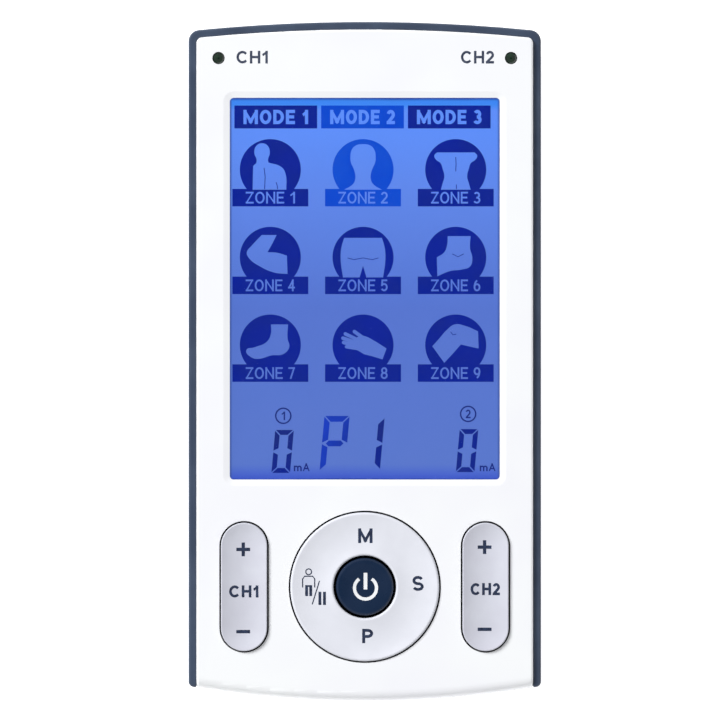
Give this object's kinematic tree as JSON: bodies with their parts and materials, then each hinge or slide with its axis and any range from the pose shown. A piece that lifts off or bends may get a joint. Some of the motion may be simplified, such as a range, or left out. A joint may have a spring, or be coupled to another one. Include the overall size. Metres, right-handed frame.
{
  "type": "electrotherapy stimulator",
  "caption": "Handheld two-channel TENS unit: slim flat case with a display window, a four-way key ring round a power button, rocker keys, lead sockets and a charging socket.",
  "frame": {"origin": "middle of the rear face that the unit lies on, at its lowest plane", "axes": "+X across the unit to the right as the display is read, +Y along it towards the lead sockets at its top end, +Z out of the display"},
  "size_m": [0.0616, 0.1185, 0.0181],
  "materials": {
    "white_case": "gloss",
    "dark_band": "satin",
    "blank_plate": "satin",
    "clear_lens": "gloss",
    "display_glass": "gloss",
    "polarizer": "satin",
    "guide_acrylic": "gloss",
    "white_reflector": "matte",
    "display_holder": "matte",
    "contact_strip": "matte",
    "grey_key": "satin",
    "navy_key": "satin",
    "silicone_mat": "matte",
    "carbon": "matte",
    "green_lamp": "gloss",
    "tinned_metal": "satin",
    "green_board": "satin",
    "black_moulding": "satin",
    "spring_brass": "satin",
    "ferrite": "matte",
    "coil_tape": "satin",
    "can_aluminium": "satin",
    "pouch_foil": "satin",
    "foam_tape": "matte",
    "red_sheath": "satin",
    "black_sheath": "satin",
    "screw_steel": "satin"
  },
  "bodies": {
    "case": {"front_shell": "white_case", "rear_shell": "white_case", "side_band": "dark_band", "rating_plate": "blank_plate", "window_lens": "clear_lens", "lens_tape": "foam_tape", "reflector_sheet": "white_reflector", "light_guide": "guide_acrylic", "backlight_strip": "coil_tape", "rear_polarizer": "polarizer", "rear_glass": "display_glass", "front_glass": "display_glass", "front_polarizer": "polarizer", "display_frame": "display_holder", "contact_rubber": "contact_strip", "ch1_lamp": "green_lamp", "ch2_lamp": "green_lamp", "ch1_jack": "black_moulding", "ch2_jack": "black_moulding", "key_mat": "silicone_mat", "carbon_pills": "carbon", "lamp_pins": "tinned_metal", "main_board": "green_board", "jack_contacts": "spring_brass", "port_sleeve": "tinned_metal", "port_tongue": "black_moulding", "ch1_transformer_core": "ferrite", "ch2_transformer_core": "ferrite", "ch1_transformer_coil": "coil_tape", "ch2_transformer_coil": "coil_tape", "controller_chip": "black_moulding", "controller_legs": "tinned_metal", "output_capacitors": "can_aluminium", "boost_inductor": "ferrite", "buzzer": "black_moulding", "battery_connector": "display_holder", "battery_pad": "foam_tape", "battery_cell": "pouch_foil", "battery_guard": "green_board", "battery_lead_red": "red_sheath", "battery_lead_black": "black_sheath", "case_screws": "screw_steel", "board_screws": "screw_steel"},
    "power": {"power_button": "navy_key"},
    "carrier": {"ring_carrier": "grey_key"},
    "ring": {"key_ring": "grey_key"},
    "ch1_key": {"ch1_rocker": "grey_key"},
    "ch2_key": {"ch2_rocker": "grey_key"}
  },
  "joints": [
    {"name": "power_press", "type": "slide", "parent": "case", "child": "power", "axis": [0, 0, -1], "range_m": [0, 0.0004], "stiffness_N_per_m": 2500, "deforming": ["key_mat", "carbon_pills"]},
    {"name": "ring_sideways", "type": "hinge", "parent": "case", "child": "carrier", "pos_m": [0, -0.0392, 0.01365], "axis": [0, 1, 0], "range_deg": [-2.5, 2.5], "stiffness_Nm_per_rad": 0.46, "deforming": ["key_mat", "carbon_pills"]},
    {"name": "ring_updown", "type": "hinge", "parent": "carrier", "child": "ring", "pos_m": [0, -0.0392, 0.0153], "axis": [1, 0, 0], "range_deg": [-2.5, 2.5], "stiffness_Nm_per_rad": 0.46, "deforming": ["key_mat", "carbon_pills"]},
    {"name": "ch1_rock", "type": "hinge", "parent": "case", "child": "ch1_key", "pos_m": [-0.021, -0.0392, 0.01365], "axis": [1, 0, 0], "range_deg": [-3, 3], "stiffness_Nm_per_rad": 0.25, "deforming": ["key_mat", "carbon_pills"]},
    {"name": "ch2_rock", "type": "hinge", "parent": "case", "child": "ch2_key", "pos_m": [0.021, -0.0392, 0.01365], "axis": [1, 0, 0], "range_deg": [-3, 3], "stiffness_Nm_per_rad": 0.25, "deforming": ["key_mat", "carbon_pills"]}
  ]
}
